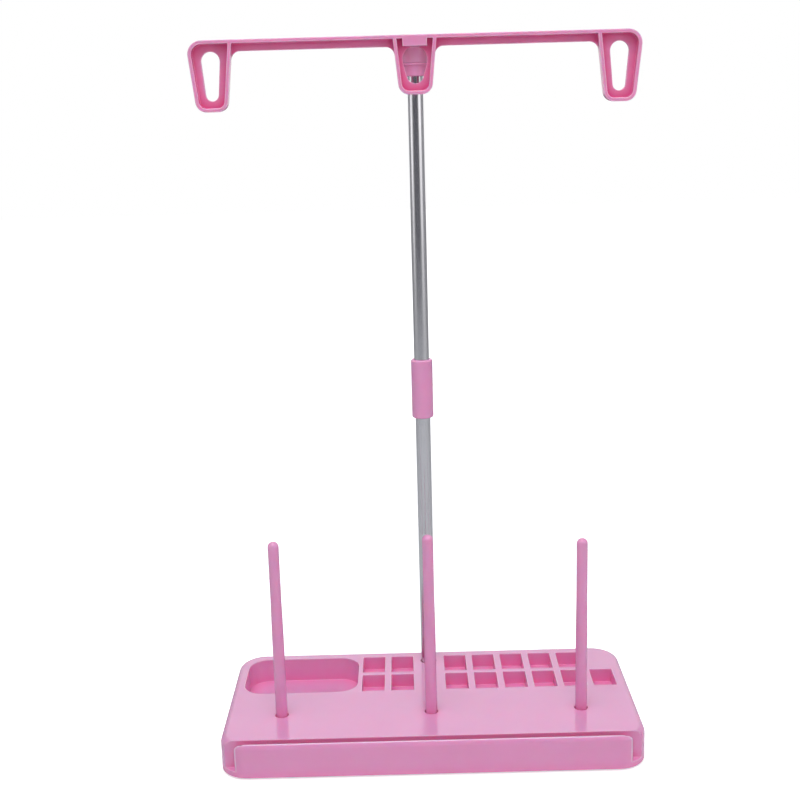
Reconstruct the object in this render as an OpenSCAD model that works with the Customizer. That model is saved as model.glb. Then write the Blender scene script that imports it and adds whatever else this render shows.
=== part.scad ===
// Three-spool thread rack for a sewing table: a moulded base with bobbin pockets, a notions tray
// and a card slot, three push-in spool pins, a two-piece steel mast and a swivelling guide bar.
// Millimetres. +Z is up, the front with the card slot faces -Y, and the feet stand on Z = 0.

/* [Base] */
// Width of the base, left to right
base_w = 263; // [259:1:320]
// Depth of the base, front to back
base_d = 130.4; // [128:0.2:170]
// Height of the deck above the underside
base_h = 21.7; // [21.2:0.1:30]
// Corner radius of the base in plan
plan_r = 17.7; // [14:0.1:24]
// Rounding of the deck's outer edge
edge_r = 4.8; // [3.5:0.1:6]
// Thickness of the moulded walls
wall = 2.2; // [1.6:0.1:2.6]
// Thickness of the stiffening ribs under the deck
rib_t = 1.6; // [1:0.1:2.4]
// How far the ribs stop short of the underside
rib_lift = 3; // [2:0.5:6]

/* [Card slot] */
// Width of the slot that holds a pattern card or a phone
slot_w = 5.7; // [5:0.1:8]
// Thickness of the lip in front of the slot
lip_t = 1.9; // [1.6:0.1:3]
// Height of the lip's inner edge above the underside
lip_h = 22; // [19:0.1:26]
// Rounding of the lip's outer edge
lip_edge_r = 4.2; // [3.2:0.1:6]
// Height of the slot's floor above the underside
slot_floor = 3.8; // [3:0.1:6]

/* [Bobbin pockets] */
// Width of one pocket
pocket_w = 15; // [12:0.1:15.4]
// Length of one pocket, front to back
pocket_l = 23.6; // [18:0.1:24]
// Depth of one pocket
pocket_deep = 9.3; // [6:0.1:12]
// Wall between neighbouring columns
column_wall = 4.55; // [2.5:0.05:4.9]
// Wall between the two rows
row_wall = 4; // [2.5:0.1:5]
// Deck left between the pockets and the back of the base
pocket_margin = 9.3; // [8:0.1:14]
// Deck left for the mast between the left and the right pockets
mast_gap = 21.4; // [20.5:0.1:22.5]
// Columns to the left of the mast
left_columns = 2; // [1:1:2]
// Columns to the right of the mast in the back row
right_columns_back = 5; // [1:1:5]
// Columns to the right of the mast in the front row
right_columns_front = 6; // [1:1:6]

/* [Tray] */
// Width of the tray
tray_w = 75.8; // [50:0.1:77]
// Depth of the tray, front to back
tray_d = 51.6; // [35:0.1:53]
// Corner radius of the tray
tray_r = 13.5; // [8:0.1:17]
// How deep the tray is
tray_deep = 16.2; // [8:0.1:16.8]
// Deck left between the tray and the first pocket
tray_gap = 2.95; // [2.5:0.05:4]

/* [Spool pins] */
// Diameter of a spool pin's lower stretch
pin_d = 7.3; // [6.9:0.1:8]
// Diameter of a spool pin's slimmer free end
pin_tip_d = 6.8; // [5:0.1:6.8]
// Length of the slimmer free end, without its round tip
pin_tip_l = 36; // [10:1:40]
// Length of the taper between the two stretches
pin_taper_l = 24; // [5:1:30]
// Length of a spool pin
pin_l = 130; // [90:1:170]
// How deep the left pin is pushed into the deck
pin_in_left = 13.4; // [8:0.1:16.4]
// How deep the centre pin is pushed into the deck
pin_in_centre = 11.4; // [8:0.1:16.4]
// How deep the right pin is pushed into the deck
pin_in_right = 16.3; // [8:0.1:16.4]
// Distance of the outer pins from the sides of the base
pin_inset = 36.1; // [30:0.1:50]
// Distance of the pins behind the front of the base
pin_setback = 39.6; // [34:0.1:44]
// Depth of a pin's socket below the deck
pin_socket_deep = 17.4; // [17:0.1:18]
// Width of the lead-in at the mouth of a pin's socket
pin_mouth_d = 8.5; // [8.3:0.1:10]

/* [Mast] */
// Outer diameter of the steel tubes
tube_d = 9.8; // [8:0.1:10]
// Wall of the steel tubes
tube_wall = 0.8; // [0.5:0.1:1.2]
// Length of each tube
tube_l = 212.6; // [120:0.2:260]
// Distance of the mast in front of the back of the base
mast_inset = 16.3; // [15:0.1:24]
// Depth of the mast's socket below the deck
mast_socket_deep = 19.3; // [15:0.1:19.5]
// Width of the lead-in at the mouth of the mast's socket
mast_mouth_d = 10.8; // [10.4:0.1:13]
// Outer diameter of the coupling sleeve
sleeve_d = 14.1; // [12.5:0.1:17]
// Length of the coupling sleeve
sleeve_l = 39; // [26:1:60]
// Rounding of the coupling sleeve's ends
sleeve_edge_r = 1; // [0.4:0.1:1.2]
// Thickness of the stop ring inside the coupling sleeve
stop_t = 2; // [1:0.1:4]

/* [Swivel head] */
// Outer diameter of the collar on top of the mast
collar_d = 17.4; // [16:0.1:18]
// Height of the collar below its shoulder
collar_h = 8; // [5:0.1:12]
// How far the bead round the shoulder stands out from the collar
bead_out = 1.3; // [0.6:0.1:1.5]
// Height of the bead round the collar's shoulder
bead_h = 1.3; // [0.8:0.1:2]
// How deep the tube goes into the collar
collar_socket_deep = 14.5; // [11:0.1:17]
// Diameter of the spigot that the guide bar turns on
spigot_d = 12.8; // [12:0.1:14]
// Height of the spigot above the shoulder
spigot_h = 12.3; // [9.5:0.1:14]
// Outer diameter of the guide bar's socket
socket_d = 18; // [16.5:0.1:21]
// Height of the guide bar's socket
socket_h = 16.3; // [15.5:0.1:20]

/* [Guide bar] */
// Distance from the centre eye to an outer eye
eye_spacing = 125.3; // [90:0.1:150]
// Height of the bar between the eyes
web_h = 6.8; // [5:0.1:8]
// Thickness of the bar's back plate
plate_t = 2; // [1.6:0.1:3]
// How far the rim stands forward of the back plate
rim_h = 5; // [3:0.1:8]
// Width of the rim
rim_w = 2.2; // [1.4:0.1:2.8]
// Rounding where an eye hangs from the bar
throat_r = 5.5; // [3:0.1:7]
// Width of an outer eye along the top of the bar
outer_eye_w = 28.2; // [24:0.1:34]
// Width of an outer eye at its foot
outer_eye_foot = 18.8; // [17:0.1:22]
// Height of an outer eye
outer_eye_h = 42.8; // [36:0.1:56]
// Radius of the top of an outer eye's hole
outer_hole_r = 5.7; // [5:0.1:7]
// Width of the centre eye along the top of the bar
centre_eye_w = 27; // [25:0.1:32]
// Width of the centre eye at its foot
centre_eye_foot = 20; // [18:0.1:23]
// Height of the centre eye
centre_eye_h = 35.4; // [33:0.1:48]
// Radius of the top of the centre eye's hole
centre_hole_r = 7.6; // [6:0.1:8]
// Width of the bridge that carries the socket
bridge_w = 15.1; // [12:0.1:17]

/* [Feet] */
// Diameter of a rubber foot
foot_d = 12; // [8:0.5:14]
// How far a foot stands out below the base
foot_out = 1.5; // [1:0.1:3]
// How deep a foot is let into the base
foot_in = 1; // [0.6:0.1:1.6]
// Distance of the feet from the sides of the base
foot_inset = 17; // [15:0.5:24]

/* [Hidden] */
$fn = 72;
// Radial clearance of a part that slides or turns in another
slip = 0.05;
// Gap between faces that run on each other
face_gap = 0.1;
// Overlap that makes a cut pass cleanly through a face
cut = 1;
pink = "#e6a6cc";
steel = "#b9b9bd";
rubber = "#55525a";

front_y = -base_d / 2;
back_y = base_d / 2;
slot_front_y = front_y + lip_t;
slot_back_y = slot_front_y + slot_w;
deck_z = foot_out + base_h;

column_pitch = pocket_w + column_wall;
row_pitch = pocket_l + row_wall;
back_row_y = back_y - pocket_margin - pocket_l;
pocket_z = base_h - pocket_deep;
first_pocket_x = -mast_gap / 2 - pocket_w - (left_columns - 1) * column_pitch;
tray_x = first_pocket_x - tray_gap - tray_w / 2;
tray_y = back_y - pocket_margin - tray_d / 2;

pin_y = front_y + pin_setback;
mast_y = back_y - mast_inset;
pin_spacing = base_w / 2 - pin_inset;
pin_boss_d = pin_mouth_d + 2 * wall;
mast_boss_d = mast_mouth_d + 2.8 * wall;
mouth_deep = 2;

foot_x = base_w / 2 - foot_inset;
foot_y = base_d / 2 - foot_inset;

tube_foot_z = deck_z - mast_socket_deep;
stop_z = tube_foot_z + tube_l;
upper_tube_z = stop_z + stop_t;
sleeve_z = stop_z + stop_t / 2 - sleeve_l / 2;
mast_top_z = upper_tube_z + tube_l;
collar_z = mast_top_z - collar_socket_deep;
shoulder_z = collar_z + collar_h;
socket_z = shoulder_z + face_gap;
bar_top_z = socket_z + socket_h;

// How far the back plate bites into the socket's curve
socket_bite = 0.4;
plate_back_y = mast_y - socket_d / 2 + socket_bite;
bar_depth = plate_t + rim_h;
// Corner radii of the eyes, at the foot and at the bar's outer corners
foot_corner_r = 6.8;
outer_corner_r = 8.5;
// Rounding at the foot of an eye's hole, as a share of its top
hole_taper = 0.69;
// Plate left between the bar's top and an outer eye's hole, and at the foot of every eye
hole_drop = 6.7;
hole_rise = 6.6;
bridge_h = 6.7;

// Ends of the straight line that touches two corner circles, each given as [x, y, radius]
function tangent(a, b) =
    let (
        step = [b.x - a.x, b.y - a.y],
        along = step / norm(step),
        lean = (a[2] - b[2]) / norm(step),
        out = lean * along + sqrt(1 - lean * lean) * [along.y, -along.x],
        // A slanted line ends just inside its circles, so that it crosses them cleanly
        slack = lean == 0 && (a.x == b.x || a.y == b.y) ? 0 : 0.002
    )
    [[a.x, a.y] + max(a[2] - slack, 0) * out, [b.x, b.y] + max(b[2] - slack, 0) * out];

// Outline drawn tightly round corner circles, which are listed anticlockwise
module round_outline(corners) {
    last = len(corners) - 1;
    polygon([for (i = [0:last]) each tangent(corners[i], corners[i == last ? 0 : i + 1])]);
    for (c = corners) {
        if (c[2] > 0) translate([c.x, c.y]) circle(c[2]);
    }
}

// Corner circles of one width each way, for a plain rounded rectangle
function box_corners(w, d, r) =
    [for (s = [[-1, -1], [1, -1], [1, 1], [-1, 1]]) [s.x * (w / 2 - r), s.y * (d / 2 - r), r]];

// Section of the base's edge: a quarter round on a straight side, r across
module edge_section(r, h, round_r) {
    square([r, h - round_r]);
    square([r - round_r, h]);
    translate([r - round_r, h - round_r]) circle(round_r);
}

// Block with round plan corners and a rounded top edge
module filleted_block(w, d, r, h, round_r) {
    x = w / 2 - r;
    y = d / 2 - r;
    translate([-x, -y, 0]) cube([2 * x, 2 * y, h]);
    for (i = [0:3]) {
        corner = [[x, y], [-x, y], [-x, -y], [x, -y]][i];
        // The straight side that follows this corner, anticlockwise
        run = i % 2 == 0 ? 2 * x : 2 * y;
        translate([corner.x, corner.y, 0]) rotate([0, 0, 90 * i]) {
            rotate_extrude(angle = 90) intersection() {
                edge_section(r, h, round_r);
                square([r, h]);
            }
            rotate([90, 0, 90]) translate([0, 0, -run]) linear_extrude(run) intersection() {
                edge_section(r, h, round_r);
                square([r, h]);
            }
        }
    }
}

// Everything from y0 to y1
module slice(y0, y1) {
    translate([-base_w, y0, -cut]) cube([2 * base_w, y1 - y0, base_h + 10]);
}

// Columns of pockets as [left edge, row], row 0 at the back
function pocket_places() = concat(
    [for (row = [0:1]) for (i = [0:left_columns - 1]) [first_pocket_x + i * column_pitch, row]],
    [for (i = [0:right_columns_back - 1]) [mast_gap / 2 + i * column_pitch, 0]],
    [for (i = [0:right_columns_front - 1]) [mast_gap / 2 + i * column_pitch, 1]]);

// Solid outside of a run of pockets in one row, cut out afterwards
module pocket_housing(x, row, columns) {
    length = columns * column_pitch - column_wall;
    translate([x - wall, back_row_y - row * row_pitch - wall, pocket_z - wall])
        cube([length + 2 * wall, pocket_l + 2 * wall, pocket_deep + wall / 2]);
}

module pocket_cuts() {
    for (p = pocket_places()) {
        translate([p.x, back_row_y - p.y * row_pitch, pocket_z])
            cube([pocket_w, pocket_l, pocket_deep + cut]);
    }
}

module tray_plan(grow) {
    translate([tray_x, tray_y])
        round_outline(box_corners(tray_w + 2 * grow, tray_d + 2 * grow, tray_r + grow));
}

// Ribs that join the walls, the bosses and the pockets under the deck
module ribs() {
    height = base_h - wall / 2 - rib_lift;
    inner_w = base_w - wall;
    translate([-inner_w / 2, pin_y - rib_t / 2, rib_lift]) cube([inner_w, rib_t, height]);
    front_run = back_row_y - row_pitch - slot_back_y;
    for (i = [-3:3]) {
        translate([i * pin_spacing / 3 - rib_t / 2, slot_back_y + wall / 2, rib_lift])
            cube([rib_t, front_run, height]);
    }
    back_run = base_d / 2 - wall / 2 - mast_y;
    translate([-rib_t / 2, mast_y, rib_lift]) cube([rib_t, back_run, height]);
}

// Hollow under the deck, and the shallow one under the slot's floor
module hollow() {
    inner_w = base_w - 2 * wall;
    inner_d = base_d - 2 * wall;
    translate([0, 0, -cut]) intersection() {
        filleted_block(inner_w, inner_d, plan_r - wall, base_h - wall + cut, edge_r - wall);
        slice(slot_back_y + wall, back_y);
    }
    translate([0, 0, -cut]) linear_extrude(slot_floor - wall + cut) intersection() {
        round_outline(box_corners(inner_w, inner_d, plan_r - wall));
        translate([-base_w / 2, front_y]) square([base_w, lip_t + slot_w + 2 * wall]);
    }
}

module base_shell() {
    // The lip is cut from a taller block, so that its inner edge ends at its own height
    lip_block_h = lip_h + lip_edge_r - sqrt(pow(lip_edge_r, 2) - pow(lip_edge_r - lip_t, 2));
    color(pink) translate([0, 0, foot_out]) difference() {
        union() {
            difference() {
                union() {
                    intersection() {
                        filleted_block(base_w, base_d, plan_r, base_h, edge_r);
                        slice(slot_back_y, back_y + cut);
                    }
                    difference() {
                        intersection() {
                            filleted_block(base_w, base_d, plan_r, lip_block_h, lip_edge_r);
                            slice(front_y - cut, slot_back_y);
                        }
                        translate([-base_w, slot_front_y, slot_floor])
                            cube([2 * base_w, slot_w + cut, base_h]);
                    }
                }
                hollow();
            }
            for (row = [0:1]) {
                pocket_housing(first_pocket_x, row, left_columns);
                pocket_housing(mast_gap / 2, row, row == 0 ? right_columns_back : right_columns_front);
            }
            translate([0, 0, base_h - tray_deep - wall]) linear_extrude(tray_deep + wall / 2)
                tray_plan(wall);
            ribs();
            for (x = [-pin_spacing, 0, pin_spacing]) {
                translate([x, pin_y, base_h - pin_socket_deep - wall])
                    cylinder(d = pin_boss_d, h = pin_socket_deep + wall / 2);
            }
            translate([0, mast_y, 0.4]) cylinder(d = mast_boss_d, h = base_h - wall / 2 - 0.4);
            for (x = [-foot_x, foot_x]) {
                for (y = [-foot_y, foot_y]) {
                    translate([x, y, 0]) cylinder(d = foot_d + 2 * wall, h = base_h - tray_deep - wall / 2);
                }
            }
            for (x = [-foot_x, foot_x]) {
                translate([x, -foot_y, 0]) cylinder(d = foot_d, h = base_h - wall / 2);
            }
            translate([foot_x, foot_y, 0]) cylinder(d = foot_d, h = base_h - wall / 2);
        }
        pocket_cuts();
        translate([0, 0, base_h - tray_deep]) linear_extrude(tray_deep + cut) tray_plan(0);
        for (x = [-pin_spacing, 0, pin_spacing]) {
            translate([x, pin_y, base_h]) {
                translate([0, 0, -pin_socket_deep]) cylinder(r = pin_d / 2 + slip, h = base_h);
                translate([0, 0, -mouth_deep]) cylinder(d = pin_mouth_d, h = mouth_deep + cut);
            }
        }
        translate([0, mast_y, base_h]) {
            translate([0, 0, -mast_socket_deep]) cylinder(r = tube_d / 2 + slip, h = base_h);
            translate([0, 0, -mouth_deep]) cylinder(d = mast_mouth_d, h = mouth_deep + cut);
        }
        for (x = [-foot_x, foot_x]) {
            for (y = [-foot_y, foot_y]) {
                translate([x, y, -cut]) cylinder(d = foot_d, h = foot_in + cut);
            }
        }
    }
}

// Anti-slip pad with a rounded lower edge, let into its ring under the base
module rubber_foot(side_x, side_y) {
    round_r = foot_out / 2;
    color(rubber) translate([side_x * foot_x, side_y * foot_y, 0]) rotate_extrude() {
        translate([0, round_r]) square([foot_d / 2, foot_out + foot_in - round_r]);
        square([foot_d / 2 - round_r, foot_out]);
        intersection() {
            translate([foot_d / 2 - round_r, round_r]) circle(round_r);
            square(foot_d);
        }
    }
}

// Spool pin with a slimmer free end and a round tip, pushed the given depth into the deck
module spool_pin(x, depth) {
    foot_r = pin_d / 2;
    tip_r = pin_tip_d / 2;
    shoulder = pin_l - tip_r;
    color(pink) translate([x, pin_y, deck_z - depth]) rotate_extrude() intersection() {
        union() {
            polygon([[0, 0], [foot_r - 0.6, 0], [foot_r, 1], [foot_r, shoulder - pin_tip_l - pin_taper_l],
                [tip_r, shoulder - pin_tip_l], [tip_r, shoulder], [0, shoulder]]);
            translate([0, shoulder]) circle(tip_r);
        }
        square([pin_d, pin_l]);
    }
}

module tube(z) {
    color(steel) translate([0, mast_y, z]) difference() {
        cylinder(d = tube_d, h = tube_l);
        translate([0, 0, -cut]) cylinder(d = tube_d - 2 * tube_wall, h = tube_l + 2 * cut);
    }
}

// Sleeve that joins the tubes; a ring inside stops both of them
module tube_coupling() {
    bore_r = tube_d / 2 + slip;
    round_r = sleeve_edge_r;
    color(pink) translate([0, mast_y, sleeve_z]) rotate_extrude() {
        translate([bore_r, 0]) square([sleeve_d / 2 - round_r - bore_r, sleeve_l]);
        translate([bore_r, round_r]) square([sleeve_d / 2 - bore_r, sleeve_l - 2 * round_r]);
        for (z = [round_r, sleeve_l - round_r]) {
            translate([sleeve_d / 2 - round_r, z]) circle(round_r);
        }
        translate([tube_d / 2 - tube_wall, (sleeve_l - stop_t) / 2])
            square([sleeve_d / 2 - round_r - tube_d / 2 + tube_wall, stop_t]);
    }
}

// Collar on the mast's top: a blind socket for the tube, a beaded shoulder that carries the bar, and a spigot
module head_collar() {
    round_r = 0.8;
    bead_r = (collar_d - bead_h) / 2 + bead_out;
    color(pink) translate([0, mast_y, collar_z]) difference() {
        rotate_extrude() {
            square([collar_d / 2 - round_r, collar_h]);
            translate([0, round_r]) square([collar_d / 2, collar_h - round_r]);
            intersection() {
                translate([collar_d / 2 - round_r, round_r]) circle(round_r);
                square(collar_d);
            }
            translate([0, collar_h - bead_h]) square([bead_r, bead_h]);
            translate([bead_r, collar_h - bead_h / 2]) circle(bead_h / 2);
            square([spigot_d / 2, collar_h + spigot_h - round_r]);
            square([spigot_d / 2 - round_r, collar_h + spigot_h]);
            intersection() {
                translate([spigot_d / 2 - round_r, collar_h + spigot_h - round_r]) circle(round_r);
                square(collar_h + spigot_h);
            }
        }
        translate([0, 0, -cut]) cylinder(r = tube_d / 2 + slip, h = collar_socket_deep + cut);
    }
}

// Half width of a tapering eye at a depth below the bar's top
function eye_half(top_w, foot_w, h, depth) = (top_w + (foot_w - top_w) * depth / h) / 2;
// Sideways reach of a corner circle of radius r from the slanted side it touches
function slant_reach(top_w, foot_w, h, r) = r * norm([h, (top_w - foot_w) / 2]) / h;
// Corner circle that touches the slanted side, at a depth below the bar's top
function eye_corner(side, top_w, foot_w, h, depth, r, inset) =
    [side * (eye_half(top_w, foot_w, h, depth) - slant_reach(top_w, foot_w, h, r)), -depth, r - inset];
// Sharp corner on the slanted side: inside the bar for the outline, under the rim for its inside
function eye_top(side, top_w, foot_w, h, inset) =
    let (depth = max(inset, 1))
    [side * (eye_half(top_w, foot_w, h, depth) - slant_reach(top_w, foot_w, h, inset)), -depth, 0];

// Outer eye at the right end of the bar, drawn about its own middle; inset gives the inside of its rim
module outer_eye(inset) {
    w = outer_eye_w;
    foot = outer_eye_foot;
    h = outer_eye_h;
    round_outline([
        eye_corner(-1, w, foot, h, h - foot_corner_r, foot_corner_r, inset),
        eye_corner(1, w, foot, h, h - foot_corner_r, foot_corner_r, inset),
        [outer_corner_x(), -outer_corner_r, outer_corner_r - inset],
        eye_top(-1, w, foot, h, inset)]);
}

// Middle of the bar's outer corner, counted from the middle of the outer eye
function outer_corner_x() = round(100 * (eye_half(outer_eye_w, outer_eye_foot, outer_eye_h, outer_corner_r)
    - slant_reach(outer_eye_w, outer_eye_foot, outer_eye_h, outer_corner_r))) / 100;

module centre_eye(inset) {
    w = centre_eye_w;
    foot = centre_eye_foot;
    h = centre_eye_h;
    round_outline([
        eye_corner(-1, w, foot, h, h - foot_corner_r, foot_corner_r, inset),
        eye_corner(1, w, foot, h, h - foot_corner_r, foot_corner_r, inset),
        eye_top(1, w, foot, h, inset),
        eye_top(-1, w, foot, h, inset)]);
}

// The three eyes, joined along the top by a strip of the given height
module eyes(inset) {
    for (side = [0, 1]) {
        mirror([side, 0]) translate([eye_spacing, 0]) outer_eye(inset);
    }
    centre_eye(inset);
}

module top_strip(h) {
    half = eye_spacing + outer_corner_x();
    translate([-half, -h]) square([2 * half, h]);
}

// Egg-shaped hole of an eye, wide end up
module eye_hole(drop, top_r, eye_h) {
    foot_r = top_r * hole_taper;
    round_outline([[0, hole_rise + foot_r - eye_h, foot_r], [0, -drop - top_r, top_r]]);
}

// Concave rounding between the strip's lower edge and an eye's slanted side, at its right
module throat(top_w, foot_w, h) {
    // Angle in the corner, from the strip's lower edge to the slanted side
    opening = 90 + atan((top_w - foot_w) / 2 / h);
    reach = throat_r / tan(opening / 2);
    centre = throat_r / sin(opening / 2) * [cos(opening / 2), -sin(opening / 2)];
    bite = 0.5;
    translate([eye_half(top_w, foot_w, h, web_h), -web_h]) difference() {
        polygon([[-bite, bite], reach * [cos(opening), -sin(opening)] - bite * [sin(opening), cos(opening)],
            centre, [reach, bite]]);
        translate(centre) circle(throat_r + 0.002);
    }
}

module bar_plate() {
    difference() {
        union() {
            top_strip(web_h);
            eyes(0);
            for (side = [0, 1]) {
                mirror([side, 0]) {
                    throat(centre_eye_w, centre_eye_foot, centre_eye_h);
                    translate([eye_spacing, 0]) mirror([1, 0])
                        throat(outer_eye_w, outer_eye_foot, outer_eye_h);
                }
            }
        }
        for (side = [-1, 1]) {
            translate([side * eye_spacing, 0]) eye_hole(hole_drop, outer_hole_r, outer_eye_h);
        }
        eye_hole(bridge_h + 0.2, centre_hole_r, centre_eye_h);
    }
}

module bar_rim() {
    difference() {
        union() {
            top_strip(rim_w);
            eyes(0);
        }
        eyes(rim_w);
    }
}

module guide_bar() {
    color(pink) difference() {
        union() {
            translate([0, plate_back_y, bar_top_z]) rotate([90, 0, 0]) {
                linear_extrude(plate_t) bar_plate();
                linear_extrude(bar_depth) bar_rim();
            }
            translate([-bridge_w / 2, plate_back_y - bar_depth, bar_top_z - bridge_h])
                cube([bridge_w, bar_depth + socket_d / 2, bridge_h]);
            translate([0, mast_y, socket_z]) cylinder(d = socket_d, h = socket_h);
        }
        translate([0, mast_y, socket_z - cut])
            cylinder(r = spigot_d / 2 + slip, h = spigot_h + face_gap + cut + 0.8);
    }
}

base_shell();
rubber_foot(-1, -1);  // rubber_foot_front_left
rubber_foot(1, -1);  // rubber_foot_front_right
rubber_foot(-1, 1);  // rubber_foot_back_left
rubber_foot(1, 1);  // rubber_foot_back_right
spool_pin(-pin_spacing, pin_in_left);  // spool_pin_left
spool_pin(0, pin_in_centre);  // spool_pin_centre
spool_pin(pin_spacing, pin_in_right);  // spool_pin_right
tube(tube_foot_z);  // lower_tube
tube_coupling();
tube(upper_tube_z);  // upper_tube
head_collar();
guide_bar();
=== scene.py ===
# %% [markdown]
# # A pink thread rack
# The rack is a moulded base with bobbin pockets, a tray and a card slot, three spool pins, a steel mast in
# two lengths and a guide bar with three eyes. Its exact solids are already made, so this lesson dresses
# them: it gives each piece the soft edges, the plastic and the steel that the real one has, and lights it.
#
# The first cell loads the solids, and part_box gives the box that each one fills; the round pieces below
# take their size and place from it.

import math

import bmesh
import bpy
import numpy as np
from mathutils import Matrix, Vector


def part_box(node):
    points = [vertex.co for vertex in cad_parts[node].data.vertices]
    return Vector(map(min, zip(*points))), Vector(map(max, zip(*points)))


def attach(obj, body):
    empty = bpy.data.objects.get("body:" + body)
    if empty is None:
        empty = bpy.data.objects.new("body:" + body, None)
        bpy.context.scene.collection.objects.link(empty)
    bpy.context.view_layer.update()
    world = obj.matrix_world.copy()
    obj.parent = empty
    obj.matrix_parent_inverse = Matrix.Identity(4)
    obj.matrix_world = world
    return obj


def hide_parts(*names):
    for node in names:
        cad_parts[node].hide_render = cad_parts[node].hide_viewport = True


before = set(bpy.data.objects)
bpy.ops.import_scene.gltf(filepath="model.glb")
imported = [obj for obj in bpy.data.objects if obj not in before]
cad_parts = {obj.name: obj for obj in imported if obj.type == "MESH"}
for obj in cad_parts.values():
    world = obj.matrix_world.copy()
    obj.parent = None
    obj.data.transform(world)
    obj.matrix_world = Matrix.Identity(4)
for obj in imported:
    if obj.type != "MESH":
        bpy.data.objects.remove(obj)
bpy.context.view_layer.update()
MM = 0.001
print("nodes:", sorted(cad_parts))

# %% [markdown]
# ## Colours and shader nodes
# Colours are written as they look on screen, in sRGB hex, and a renderer works with linear light. One
# function turns the first into the second. One more adds a shader node, with its settings and its inputs,
# so that each material below reads as a short list of what it is made of. A Mix node has a set of sockets
# for each kind of value, so the ones for colours get names here.

# %% Three small helpers for materials
MIX_SHARE, MIX_FIRST, MIX_SECOND, MIX_RESULT = 0, 6, 7, 2


def linear(hex_colour):
    """Linear RGBA of an sRGB hex colour: each channel c becomes c / 12.92 where it is 0.04045 or less, and
    ((c + 0.055) / 1.055) ** 2.4 above that."""
    c = np.array([int(hex_colour[i : i + 2], 16) for i in (1, 3, 5)]) / 255
    return (*np.where(c <= 0.04045, c / 12.92, ((c + 0.055) / 1.055) ** 2.4), 1.0)


def add_node(tree, kind, inputs=(), **settings):
    """Adds a node. inputs maps a socket's name or number to a value, or to (node, socket) to link from."""
    made = tree.nodes.new(kind)
    for name, value in settings.items():
        setattr(made, name, value)
    for socket, value in dict(inputs).items():
        if isinstance(value, tuple) and isinstance(value[0], bpy.types.Node):
            tree.links.new(value[0].outputs[value[1]], made.inputs[socket])
        else:
            made.inputs[socket].default_value = value
    return made


def new_material(name):
    """An empty node material, with the output node that its shader goes into."""
    material = bpy.data.materials.new(name)
    material.use_nodes = True
    material.node_tree.nodes.clear()
    return material, material.node_tree, add_node(material.node_tree, "ShaderNodeOutputMaterial")


# %% [markdown]
# ## Glossy moulded ABS
# The base, the pins, the sleeve, the collar and the bar are pink ABS, shot into polished steel moulds.
# That gives a clean gloss, a very slight unevenness where the plastic flowed and shrank, and a soft glow,
# because light goes a millimetre or so into the plastic before it comes back out. In a hollow, light
# bounces from pink to pink and gets redder each time, and along an edge it leaves the plastic early, so an
# edge looks paler.
#
# A Principled shader with some subsurface does the glow. A broad noise, 25 mm across, shifts the colour
# slightly, and a finer one of 3 mm moves the roughness and a bump of a micron. Two more kinds of node paint
# light into the colour: ambient occlusion finds the hollows, which get a deeper pink as painted shade, and a
# Bevel node finds the edges, which get a paler one as painted highlight. The Bevel node also rounds what the
# light sees of an edge.
#
# The bar's pink is deeper and warmer than the base's, and its hollows get a deeper painted shade still:
# painted shade of its recessed plate, except round its socket. The socket and the collar get a paler pink,
# painted light that lifts them out of the shade behind the plate, and their hollows deepen only to the
# base's pink.

# %% Moulded ABS
ABS_PINK = "#F5A9D5"
ABS_PINK_DRIFT = "#F3A3D0"
# The paler pink painted on edges as highlight.
ABS_PAINTED_EDGE_HIGHLIGHT = "#FFDDF0"
# The deeper pink painted in hollows as shade.
ABS_PAINTED_HOLLOW_SHADE = "#FB92C5"
FLOW_SIZE = 25 * MM
RIPPLE_SIZE = 3 * MM
EDGE_ROUNDING = 0.6 * MM
PAINTED_HIGHLIGHT_WIDTH = 1.4 * MM


def painted_edge_highlight(tree, colour):
    """Paints a highlight: mixes the paler pink in where a wide rounding would turn the surface's normal, but
    not in a corner, where little is open within 4 mm. The cosine of the turn goes from 0.99 (no change) to
    0.85 (all)."""
    brim = add_node(tree, "ShaderNodeBevel", {"Radius": PAINTED_HIGHLIGHT_WIDTH}, samples=8)
    face = add_node(tree, "ShaderNodeNewGeometry")
    turn = add_node(tree, "ShaderNodeVectorMath", {0: (brim, "Normal"), 1: (face, "Normal")},
                    operation="DOT_PRODUCT")
    near_edge = add_node(tree, "ShaderNodeMapRange", {
        "Value": (turn, "Value"), "From Min": 0.99, "From Max": 0.85})
    openness = add_node(tree, "ShaderNodeAmbientOcclusion", {"Distance": 4 * MM}, samples=8)
    share = add_node(tree, "ShaderNodeMath", {0: (near_edge, 0), 1: (openness, "AO")}, operation="MULTIPLY")
    return add_node(tree, "ShaderNodeMix", {
        MIX_SHARE: (share, 0), MIX_FIRST: colour, MIX_SECOND: linear(ABS_PAINTED_EDGE_HIGHLIGHT)}, data_type="RGBA")


def near_axis(tree, place, core):
    """1 within the radius of an upright core, 0 from 1 mm outside it. core is (x, y, radius)."""
    x, y, radius = core
    offset = add_node(tree, "ShaderNodeVectorMath", {0: (place, "Object"), 1: (-x, -y, 0.0)})
    offset = add_node(tree, "ShaderNodeVectorMath", {0: (offset, 0), 1: (1.0, 1.0, 0.0)},
                      operation="MULTIPLY")
    reach = add_node(tree, "ShaderNodeVectorMath", {0: (offset, 0)}, operation="LENGTH")
    return add_node(tree, "ShaderNodeMapRange", {
        "Value": (reach, "Value"), "From Min": radius + MM, "From Max": radius})


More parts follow.
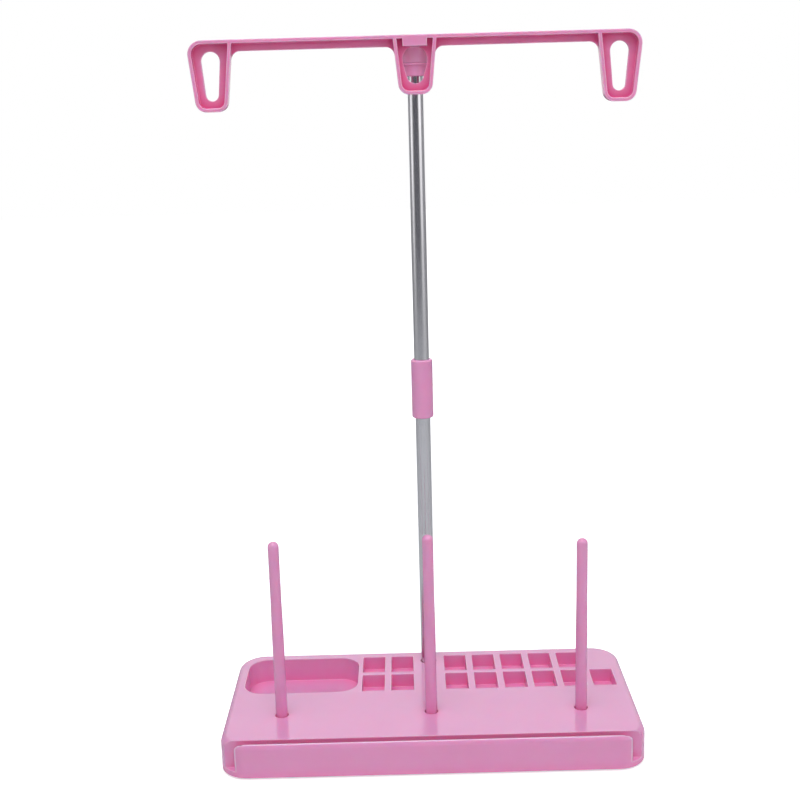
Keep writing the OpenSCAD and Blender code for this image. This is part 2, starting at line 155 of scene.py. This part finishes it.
def moulded_abs(name, colour_hex, hollow_shade_hex, hollow_at=0.35, core=None, core_light_hex=None):
    """Moulded ABS. Its colour deepens to the hollow colour, a painted shade, where the share of open sky
    within
    10 mm falls to hollow_at. An upright core of (x, y, radius) gets no painted shade and takes the core
    colour, a paler pink painted as light."""
    material, tree, output = new_material(name)
    place = add_node(tree, "ShaderNodeTexCoord")
    flow = add_node(tree, "ShaderNodeTexNoise", {
        "Vector": (place, "Object"), "Scale": 1 / FLOW_SIZE, "Detail": 2.0})
    colour = add_node(tree, "ShaderNodeMix", {
        MIX_SHARE: (flow, "Fac"), MIX_FIRST: linear(colour_hex), MIX_SECOND: linear(ABS_PINK_DRIFT)},
        data_type="RGBA")
    # Painted highlight on edges.
    colour = painted_edge_highlight(tree, (colour, MIX_RESULT))
    # Painted shade in hollows, by how little open sky ambient occlusion finds.
    sky_seen = add_node(tree, "ShaderNodeAmbientOcclusion", {"Distance": 10 * MM}, samples=8)
    open_share = add_node(tree, "ShaderNodeMapRange", {
        "Value": (sky_seen, "AO"), "From Min": hollow_at, "From Max": 0.97})
    # Round the socket: no painted shade, and the paler pink painted as light.
    if core:
        inside = near_axis(tree, place, core)
        open_share = add_node(tree, "ShaderNodeMath", {0: (open_share, 0), 1: (inside, 0)},
                              operation="MAXIMUM")
        colour = add_node(tree, "ShaderNodeMix", {
            MIX_SHARE: (inside, 0), MIX_FIRST: (colour, MIX_RESULT), MIX_SECOND: linear(core_light_hex)},
            data_type="RGBA")
    colour = add_node(tree, "ShaderNodeMix", {
        MIX_SHARE: (open_share, 0), MIX_FIRST: linear(hollow_shade_hex), MIX_SECOND: (colour, MIX_RESULT)},
        data_type="RGBA")
    ripple = add_node(tree, "ShaderNodeTexNoise", {
        "Vector": (place, "Object"), "Scale": 1 / RIPPLE_SIZE, "Detail": 3.0})
    gloss = add_node(tree, "ShaderNodeMapRange", {
        "Value": (ripple, "Fac"), "From Min": 0.3, "From Max": 0.7, "To Min": 0.10, "To Max": 0.15})
    edges = add_node(tree, "ShaderNodeBevel", {"Radius": EDGE_ROUNDING}, samples=8)
    skin = add_node(tree, "ShaderNodeBump", {
        "Height": (ripple, "Fac"), "Strength": 0.1, "Distance": 0.01 * MM, "Normal": (edges, "Normal")})
    shader = add_node(tree, "ShaderNodeBsdfPrincipled", {
        "Base Color": (colour, MIX_RESULT), "Roughness": (gloss, "Result"), "Normal": (skin, "Normal"),
        "IOR": 1.53, "Subsurface Weight": 0.6, "Subsurface Radius": (1.0, 0.3, 0.5),
        "Subsurface Scale": 1.5 * MM})
    tree.links.new(shader.outputs["BSDF"], output.inputs["Surface"])
    return material


# %% The base pink, a painted-light copy and a painted-shade copy
# A paler pink painted as light on the collar and round the bar's socket.
ABS_PAINTED_LIGHT_PINK = "#FBB5DA"
# The bar's deeper, warmer pink, painted shade of its recessed plate.
ABS_BAR_SHADED_PINK = "#FD9FC8"
# The deeper pink painted as shade in the bar's hollows.
ABS_BAR_HOLLOW_SHADE = "#E9619B"
# Just outside the socket's wall. The front of the bar's plate is a little over a millimetre further out.
SOCKET_REACH = 9.3 * MM

tube_low, tube_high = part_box("upper_tube")
SOCKET_CORE = ((tube_low.x + tube_high.x) / 2, (tube_low.y + tube_high.y) / 2, SOCKET_REACH)
pink_abs = moulded_abs("glossy_moulded_abs", ABS_PINK, ABS_PAINTED_HOLLOW_SHADE)
# The collar's paler pink is painted light; its hollows take the base pink as painted shade.
lit_pink_abs = moulded_abs("painted_light_moulded_abs", ABS_PAINTED_LIGHT_PINK, ABS_PINK)
# The bar: painted shade in its pink and hollows, painted light round its socket.
shaded_bar_abs = moulded_abs("shaded_bar_moulded_abs", ABS_BAR_SHADED_PINK, ABS_BAR_HOLLOW_SHADE, 0.4, SOCKET_CORE, ABS_PAINTED_LIGHT_PINK)
print("the socket's core:", [round(v / MM, 1) for v in SOCKET_CORE], "mm")

# %% [markdown]
# ## Drawn stainless steel
# The mast is thin stainless tube, drawn through a die and polished along its length. Drawing leaves very
# fine straight scratches that run with the tube. Stretching a noise a hundred times along Z draws them:
# 0.25 mm wide is coarser than the real ones, which are a tenth of that, but it is what shows at this size.

# %% Drawn stainless tube
STEEL_LIGHT, STEEL_DARK = "#D2D1D4", "#C4C3C7"
SCRATCH_SPACING = 0.5 * MM


def drawn_steel(name):
    """Polished stainless with fine lengthwise scratches."""
    material, tree, output = new_material(name)
    place = add_node(tree, "ShaderNodeTexCoord")
    along = add_node(tree, "ShaderNodeMapping", {"Vector": (place, "Object"), "Scale": (1.0, 1.0, 0.01)})
    lines = add_node(tree, "ShaderNodeTexNoise", {
        "Vector": (along, "Vector"), "Scale": 1 / SCRATCH_SPACING, "Detail": 3.0})
    polish = add_node(tree, "ShaderNodeMapRange", {
        "Value": (lines, "Fac"), "From Min": 0.3, "From Max": 0.7, "To Min": 0.16, "To Max": 0.30})
    tint = add_node(tree, "ShaderNodeMix", {
        MIX_SHARE: (lines, "Fac"), MIX_FIRST: linear(STEEL_LIGHT), MIX_SECOND: linear(STEEL_DARK)},
        data_type="RGBA")
    scratches = add_node(tree, "ShaderNodeBump", {
        "Height": (lines, "Fac"), "Strength": 0.15, "Distance": 0.02 * MM})
    shader = add_node(tree, "ShaderNodeBsdfPrincipled", {
        "Base Color": (tint, MIX_RESULT), "Metallic": 1.0, "Roughness": (polish, "Result"),
        "Normal": (scratches, "Normal")})
    tree.links.new(shader.outputs["BSDF"], output.inputs["Surface"])
    return material


steel = drawn_steel("drawn_stainless_steel")

# %% [markdown]
# ## Rubber
# The feet are moulded nitrile rubber with a matt skin: dark, no clear highlight, and a grain of about half
# a millimetre from the spark-eroded mould.

# %% Matt rubber
RUBBER_DARK, RUBBER_LIGHT = "#4A474E", "#5A5660"
GRAIN_SIZE = 0.5 * MM


def matt_rubber(name):
    """Dark rubber with a fine pebbled skin."""
    material, tree, output = new_material(name)
    place = add_node(tree, "ShaderNodeTexCoord")
    grain = add_node(tree, "ShaderNodeTexVoronoi", {"Vector": (place, "Object"), "Scale": 1 / GRAIN_SIZE})
    shade = add_node(tree, "ShaderNodeMix", {
        MIX_SHARE: (grain, "Distance"), MIX_FIRST: linear(RUBBER_DARK), MIX_SECOND: linear(RUBBER_LIGHT)},
        data_type="RGBA")
    skin = add_node(tree, "ShaderNodeBump", {
        "Height": (grain, "Distance"), "Strength": 0.3, "Distance": 0.05 * MM})
    shader = add_node(tree, "ShaderNodeBsdfPrincipled", {
        "Base Color": (shade, MIX_RESULT), "Roughness": 0.75, "Normal": (skin, "Normal")})
    tree.links.new(shader.outputs["BSDF"], output.inputs["Surface"])
    return material


rubber = matt_rubber("matt_nitrile_rubber")
print("materials:", [m.name for m in (pink_abs, lit_pink_abs, shaded_bar_abs, steel, rubber)])

# %% [markdown]
# ## Turned shapes
# Pins, tubes, sleeve, collar and feet are all round, so each is a profile turned about an upright axis. A
# point on the surface depends on two numbers, the place along the profile and the angle round the axis,
# and numpy works out the whole grid at once. No real edge is quite sharp, so the profile's corners are
# rounded first.

# %% Rounded profiles
def soften(corners, radii, steps=6):
    """Profile with rounded corners. At each corner the arc of radius R starts and ends R / tan(half the
    corner's angle) away from it, and its middle lies R / sin(half the angle) away, along the line that
    halves the angle."""
    p = np.array(corners, float)
    radii = np.broadcast_to(np.array(radii, float), len(p))[:, None]
    to_last, to_next = np.roll(p, 1, 0) - p, np.roll(p, -1, 0) - p
    to_last /= np.linalg.norm(to_last, axis=1, keepdims=True)
    to_next /= np.linalg.norm(to_next, axis=1, keepdims=True)
    half = np.arccos(np.clip((to_last * to_next).sum(1, keepdims=True), -1, 1)) / 2
    middle = to_last + to_next
    middle /= np.maximum(np.linalg.norm(middle, axis=1, keepdims=True), 1e-9)
    centre = p + middle * radii / np.sin(half)
    first = p + to_last * radii / np.tan(half) - centre
    last = p + to_next * radii / np.tan(half) - centre
    t = np.linspace(0, 1, steps)[None, :, None]
    turn = (math.pi - 2 * half)[:, None]
    arc = np.sin((1 - t) * turn) * first[:, None] + np.sin(t * turn) * last[:, None]
    arc /= np.maximum(np.sin(turn), 1e-9)
    return (centre[:, None] + arc).reshape(-1, 2)


# %% Turned surfaces
MERGE_WITHIN = 0.001 * MM


def mesh_from_grid(name, points):
    """Mesh of a grid of points that closes on itself both ways; each face joins four neighbours, and
    points that fall together on the axis are merged into one."""
    rows, columns = points.shape[:2]
    index = np.arange(rows * columns).reshape(rows, columns)
    right, up = np.roll(index, -1, 1), np.roll(index, -1, 0)
    faces = np.stack([index, right, np.roll(up, -1, 1), up], -1).reshape(-1, 4)
    mesh = bpy.data.meshes.new(name)
    mesh.from_pydata(points.reshape(-1, 3), [], faces.tolist())
    work = bmesh.new()
    work.from_mesh(mesh)
    bmesh.ops.remove_doubles(work, verts=work.verts, dist=MERGE_WITHIN)
    bmesh.ops.dissolve_degenerate(work, edges=work.edges, dist=MERGE_WITHIN / 2)
    bmesh.ops.recalc_face_normals(work, faces=work.faces)
    work.to_mesh(mesh)
    work.free()
    mesh.shade_smooth()
    return mesh


def turned(name, profile, axis_x, axis_y, sides=96):
    """Surface of a closed profile of (radius, height) turned about the upright line at (axis_x, axis_y):
    the point at angle a is (x + r cos a, y + r sin a, z)."""
    angle = np.linspace(0, 2 * math.pi, sides, endpoint=False)
    r, z = profile[:, 0, None], profile[:, 1, None]
    points = np.stack([axis_x + r * np.cos(angle), axis_y + r * np.sin(angle), z + 0 * angle], -1)
    return bpy.data.objects.new(name, mesh_from_grid(name, points))


# %% [markdown]
# A finished piece takes the place of a solid, and moves with the body that the solid is on. The size and
# the place of a round piece come from the box of the solid that it replaces.

# %% Measuring and dressing
def round_box(node):
    """Lowest and highest z, radius, and the axis' x and y, of a round upright node."""
    low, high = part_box(node)
    return low.z, high.z, (high.x - low.x) / 2, (high.x + low.x) / 2, (high.y + low.y) / 2


def dress(piece, node, body, material):
    """Puts a finished piece in the place of a CAD node, on its body. The modifier lets the large faces
    lead the shading, so flats look flat up to their roundings."""
    bpy.context.scene.collection.objects.link(piece)
    piece.data.materials.clear()
    piece.data.materials.append(material)
    smooth = piece.modifiers.new("even_shading", "WEIGHTED_NORMAL")
    smooth.keep_sharp = True
    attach(piece, body)
    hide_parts(node)
    print(piece.name, len(piece.data.polygons), "faces for", node)
    return piece


# %% [markdown]
# ## The spool pins
# Each pin is a plain rod with a round tip, and stands in a hole in the deck with a small chamfer round its
# mouth. The draft that lets the pin leave its mould makes it a little thinner towards the top, so the rod
# is drawn as a wide lower length, a slight cone and a narrower upper length.

# %% Spool pins
PIN_DRAFT = 0.25 * MM
CONE_STARTS, CONE_ENDS = 60 * MM, 36 * MM


def spool_pin(node, body):
    """A chamfered foot, the full radius up to 60 mm below the shoulder, a cone that takes off 0.25 mm up
    to 36 mm below it, and a half round tip above it."""
    foot_z, top_z, radius, x, y = round_box(node)
    tip = radius - PIN_DRAFT
    shoulder = top_z - tip
    foot = np.array([(0, foot_z), (radius - 0.6 * MM, foot_z), (radius, foot_z + MM)])
    side = np.array([(radius, shoulder - CONE_STARTS), (tip, shoulder - CONE_ENDS), (tip, shoulder)])
    rise = np.linspace(0, math.pi / 2, 16)[1:]
    dome = np.stack([tip * np.cos(rise), shoulder + tip * np.sin(rise)], 1)
    rod = turned(node + "_rod", np.vstack([foot, side, dome]), x, y, 64)
    return dress(rod, node, body, pink_abs)


for side in ("left", "centre", "right"):
    spool_pin("spool_pin_" + side, "pin_" + side)

# %% [markdown]
# ## The mast
# Two equal tubes meet inside a plastic sleeve. A tube's profile is a thin upright rectangle away from the
# axis, so turning it gives the outside, the bore and both cut ends in one surface. The ends are deburred,
# a rounding of a fifth of a millimetre.

# %% Steel tubes
TUBE_WALL = 0.8 * MM
DEBURRED = 0.2 * MM


def tube(node, body):
    """A tube with deburred ends."""
    foot_z, top_z, outer, x, y = round_box(node)
    inner = outer - TUBE_WALL
    profile = soften([(inner, foot_z), (outer, foot_z), (outer, top_z), (inner, top_z)], DEBURRED)
    return dress(turned(node + "_steel", profile, x, y), node, body, steel)


tube("lower_tube", "lower_mast")
tube("upper_tube", "upper_mast")

# %% [markdown]
# The sleeve and the collar are both pushed over a tube, so they share a bore. The sleeve has a ring inside
# that both tubes stop against. The collar's bore is blind, and on its beaded shoulder sits the bar, which
# turns on the spigot above. Outer edges are rounded by up to a millimetre, hidden ones by a tenth.

# %% Sleeve and collar
TUBE_BORE = 4.95 * MM


def sleeve(node, body, stop=4.1 * MM, stop_height=2 * MM):
    """The sleeve over both tubes, with a ring inside that stops them."""
    foot_z, top_z, outer, x, y = round_box(node)
    middle = (top_z + foot_z) / 2
    ring_low, ring_high = middle - stop_height / 2, middle + stop_height / 2
    corners = [(TUBE_BORE, foot_z), (outer, foot_z), (outer, top_z), (TUBE_BORE, top_z),
               (TUBE_BORE, ring_high), (stop, ring_high), (stop, ring_low), (TUBE_BORE, ring_low)]
    profile = soften(corners, np.array([0.3, 1, 1, 0.3, 0.1, 0.1, 0.1, 0.1]) * MM, 8)
    return dress(turned(node + "_sleeve", profile, x, y), node, body, pink_abs)


def collar(node, body, depth=14.5 * MM, shoulder=8 * MM, spigot=6.4 * MM, bead=1.3 * MM):
    """The collar: a blind bore for the tube below, a beaded shoulder, and the spigot that the bar turns
    on."""
    foot_z, top_z, widest, x, y = round_box(node)
    side, shoulder_z = widest - bead, foot_z + shoulder
    corners = [(0, foot_z + depth), (TUBE_BORE, foot_z + depth), (TUBE_BORE, foot_z), (side, foot_z),
               (side, shoulder_z - bead), (widest, shoulder_z - bead), (widest, shoulder_z),
               (spigot, shoulder_z), (spigot, top_z), (0, top_z)]
    profile = soften(corners, np.array([0, 0.1, 0.3, 0.8, 0.15, 0.6, 0.6, 0.1, 0.8, 0]) * MM, 8)
    # The collar gets the paler pink painted as light.
    return dress(turned(node + "_collar", profile, x, y), node, body, lit_pink_abs)


sleeve("tube_coupling", "lower_mast")
collar("head_collar", "upper_mast")

# %% [markdown]
# ## The feet
# A foot is a low disc. Only its lower edge shows, and that is where a real one is rounded most.

# %% Rubber feet
def foot(node):
    """A disc whose lower edge is rounded."""
    foot_z, top_z, radius, x, y = round_box(node)
    corners = [(0, foot_z), (radius, foot_z), (radius, top_z), (0, top_z)]
    profile = soften(corners, [0, 0.75 * MM, 0.1 * MM, 0])
    return dress(turned(node + "_pad", profile, x, y, 48), node, "base", rubber)


for corner in ("front_left", "front_right", "back_left", "back_right"):
    foot("rubber_foot_" + corner)

# %% [markdown]
# ## The mouldings
# The base and the guide bar are the two large mouldings. Their outlines are exact in the solids already,
# and what is missing is the small rounding on every edge, which catches a thin line of light round each
# pocket and eye. A Bevel modifier makes it. The solids arrive as loose triangles, so a copy is welded
# first, and triangles that lie flat beside each other are joined, so that the rounding runs evenly along
# each edge and no long thin triangle is left to streak the shading.

# %% Base and guide bar
SHARP_EDGE = math.radians(28)
FLAT = math.radians(0.1)
MOULD_ROUNDING = 0.3 * MM


def moulding(node, body, material):
    """Welded copy of a node, with flat triangles joined, whose edges that turn by more than 28 degrees get
    a small rounding."""
    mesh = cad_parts[node].data.copy()
    work = bmesh.new()
    work.from_mesh(mesh)
    bmesh.ops.remove_doubles(work, verts=work.verts, dist=MERGE_WITHIN)
    bmesh.ops.dissolve_limit(work, angle_limit=FLAT, verts=work.verts, edges=work.edges)
    work.to_mesh(mesh)
    work.free()
    mesh.shade_smooth()
    piece = bpy.data.objects.new(node + "_moulding", mesh)
    edge = piece.modifiers.new("edge_rounding", "BEVEL")
    edge.width = MOULD_ROUNDING
    edge.segments = 3
    edge.limit_method = "ANGLE"
    edge.angle_limit = SHARP_EDGE
    edge.use_clamp_overlap = False
    edge.loop_slide = False
    return dress(piece, node, body, material)


moulding("base_shell", "base", pink_abs)
# The bar gets its painted shade, and the painted light round its socket.
moulding("guide_bar", "guide", shaded_bar_abs)

# %% [markdown]
# ## Floor and cards
# The rack stands on a plain white sweep. A real sweep curves up into the light and gets brighter away from
# the object, so the camera sees a little more white in this flat one the further it is.
#
# Everything else round the rack is there for the reflections. Polished tube only looks like steel when it
# has something dark to reflect as well. In a studio that is the dim room behind the camera, so a grey
# panel stands there, and two white cards stand beside the rack and a little behind it, for the tube's
# bright edges. The camera sees none of them. The grey panel also shades some of the light that bounces
# back from the front, as a dim room does.

# %% Floor, dim room and white cards
def stage_material(name, hex_colour, glow_near=0.0, glow_far=0.0):
    """A matt stage surface. The glows are the white that the camera sees in it on top of its own light,
    within 0.4 m of the rack and beyond 1.1 m."""
    material, tree, output = new_material(name)
    matt = add_node(tree, "ShaderNodeBsdfDiffuse", {"Color": linear(hex_colour)})
    rays = add_node(tree, "ShaderNodeLightPath")
    place = add_node(tree, "ShaderNodeTexCoord")
    away = add_node(tree, "ShaderNodeVectorMath", {0: (place, "Object")}, operation="LENGTH")
    glow = add_node(tree, "ShaderNodeMapRange", {
        "Value": (away, "Value"), "From Min": 0.4, "From Max": 1.1, "To Min": glow_near, "To Max": glow_far})
    share = add_node(tree, "ShaderNodeMath", {0: (rays, "Is Camera Ray"), 1: (glow, 0)}, operation="MULTIPLY")
    light = add_node(tree, "ShaderNodeEmission", {"Strength": (share, 0)})
    both = add_node(tree, "ShaderNodeAddShader", {0: (matt, 0), 1: (light, 0)})
    tree.links.new(both.outputs[0], output.inputs["Surface"])
    return material


def flat_panel(name, corners, material):
    """A rectangle through four corners, for the stage."""
    mesh = bpy.data.meshes.new(name)
    mesh.from_pydata(corners, [], [(0, 1, 2, 3)])
    panel = bpy.data.objects.new(name, mesh)
    panel.data.materials.append(material)
    bpy.context.scene.collection.objects.link(panel)
    return panel


def upright_panel(name, azimuth, distance, width, height, material):
    """A rectangle that stands on the floor and faces the middle. Its azimuth in degrees is counted from
    the camera's side, positive to the right, so its middle is at distance times (sin azimuth, -cos
    azimuth). Only reflections see it."""
    a = math.radians(azimuth)
    middle = np.array([math.sin(a), -math.cos(a)]) * distance
    along = np.array([math.cos(a), math.sin(a)]) * width / 2
    left, right = middle - along, middle + along
    corners = [(*left, 0.0), (*right, 0.0), (*right, height), (*left, height)]
    panel = flat_panel(name, corners, material)
    panel.visible_camera = panel.visible_diffuse = panel.visible_shadow = panel.visible_transmission = False
    return panel


PAPER_WHITE, ROOM_GREY = "#F7F6F7", "#8F8D92"
FLOOR_REACH = 4.0
floor_corners = [(x * FLOOR_REACH, y * FLOOR_REACH, 0) for x, y in ((-1, -1), (1, -1), (1, 1), (-1, 1))]
flat_panel("floor", floor_corners, stage_material("white_paper_sweep", PAPER_WHITE, 0.65, 1.0))
room = upright_panel("room_behind_camera", -9, 1.6, 2.9, 2.4, stage_material("unlit_room", ROOM_GREY))
room.visible_diffuse = True
white_card = stage_material("white_card", PAPER_WHITE)
upright_panel("card_right", 112, 2.0, 2.6, 1.8, white_card)
upright_panel("card_left", -122, 2.0, 2.2, 1.8, white_card)
print("the floor reaches", FLOOR_REACH, "m each way")

# %% [markdown]
# ## Lamps and world
# The softbox overhead lights the deck. A wide panel behind, out of the picture, lies where the glossy deck
# mirrors it to the camera. Two tall softboxes at the sides draw the bright lines on the upright pieces. A
# fill from the right and a key from above the camera reach the faces that look forward; reflections don't
# show them, because a lamp there would put a stripe down the middle of the tube. The world is white to the
# camera and to reflections, and a weak level fill to everything else.

# %% Lamps
DECK, MID_MAST = (0, 0, 0.1), (0, 0, 0.3)
WHITE, COOL_WHITE, PALE_BLUE_WHITE = "#FFFFFF", "#F4F8FF", "#F4FAFF"


def soft_lamp(name, place, target, width, height, watts, tint):
    """An area lamp at place that faces target. Its radiance is watts / (pi * width * height), so of two
    lamps with the same power the larger one looks dimmer and casts softer shadows."""
    data = bpy.data.lights.new(name, "AREA")
    data.shape = "RECTANGLE"
    data.size, data.size_y = width, height
    data.energy = watts
    data.color = linear(tint)[:3]
    lamp = bpy.data.objects.new(name, data)
    z = np.array(place, float) - np.array(target, float)
    z /= np.linalg.norm(z)
    x = np.cross((0, 0, 1) if abs(z[2]) < 0.9 else (0, 1, 0), z)
    x /= np.linalg.norm(x)
    turn = np.column_stack([x, np.cross(z, x), z, place])
    lamp.matrix_world = Matrix(np.vstack([turn, (0, 0, 0, 1)]).tolist())
    bpy.context.scene.collection.objects.link(lamp)
    return lamp


soft_lamp("overhead_softbox", (-0.1, -0.5, 1.6), DECK, 1.2, 1.2, 17.8, PALE_BLUE_WHITE)
soft_lamp("panel_behind", (0, 2.1, 1.15), DECK, 3.2, 0.9, 5.5, COOL_WHITE)
soft_lamp("softbox_right", (1.85, -1.15, 0.7), MID_MAST, 1.3, 1.6, 5, WHITE)
soft_lamp("softbox_left", (-2.15, -0.41, 0.7), MID_MAST, 0.9, 1.6, 3.6, WHITE)
fill = soft_lamp("fill_right", (1.9, -0.4, 0.7), MID_MAST, 1.0, 1.0, 2.5, WHITE)
key = soft_lamp("key_front", (0.1, -0.95, 0.75), MID_MAST, 0.6, 0.4, 1.1, WHITE)
for lamp in (fill, key):
    lamp.visible_glossy = False

# %% World
WORLD_FILL = 0.11

world = bpy.data.worlds.new("white_studio")
world.use_nodes = True
bpy.context.scene.world = world
sky = world.node_tree
sky.nodes.clear()
rays = add_node(sky, "ShaderNodeLightPath")
seen = add_node(sky, "ShaderNodeMath", {0: (rays, "Is Camera Ray"), 1: (rays, "Is Glossy Ray")},
                operation="MAXIMUM")
seen = add_node(sky, "ShaderNodeMath", {0: (seen, 0), 1: (rays, "Is Transmission Ray")},
                operation="MAXIMUM")
level = add_node(sky, "ShaderNodeMapRange", {"Value": (seen, 0), "To Min": WORLD_FILL, "To Max": 1.0})
white = add_node(sky, "ShaderNodeBackground", {"Color": linear(WHITE), "Strength": (level, "Result")})
add_node(sky, "ShaderNodeOutputWorld", {"Surface": (white, 0)})
print("world fill", WORLD_FILL)

# %% [markdown]
# ## The camera
# The photograph was taken from in front, about three quarters of a metre away and a little above the rack,
# with the camera tipped down by 13 degrees and rolled by under 2. Its place and its focal length come from
# matching the pockets, the tray, the slot and the pins with the photograph.

# %% Camera
CAMERA_PLACE = (-0.0117, -0.7574, 0.4028)
YAW, PITCH, ROLL = -0.00396, -0.23503, -0.0275
FOCAL_PIXELS = 1254.16
IMAGE_PIXELS = 800
SENSOR_MM = 36

ahead = np.array([math.sin(YAW) * math.cos(PITCH), math.cos(YAW) * math.cos(PITCH), math.sin(PITCH)])
level_right = np.array([math.cos(YAW), -math.sin(YAW), 0.0])
level_up = np.cross(level_right, ahead)
right = math.cos(ROLL) * level_right + math.sin(ROLL) * level_up
up = math.cos(ROLL) * level_up - math.sin(ROLL) * level_right

camera = bpy.data.objects.new("camera", bpy.data.cameras.new("camera"))
camera.data.sensor_width = SENSOR_MM
camera.data.lens = SENSOR_MM * FOCAL_PIXELS / IMAGE_PIXELS
camera.data.clip_start, camera.data.clip_end = 0.01, 20
turn = np.column_stack([right, up, -ahead, CAMERA_PLACE])
camera.matrix_world = Matrix(np.vstack([turn, (0, 0, 0, 1)]).tolist())
bpy.context.scene.collection.objects.link(camera)
bpy.context.scene.camera = camera
bpy.context.scene.view_settings.view_transform = "Standard"
print("lens:", round(camera.data.lens, 2), "mm")
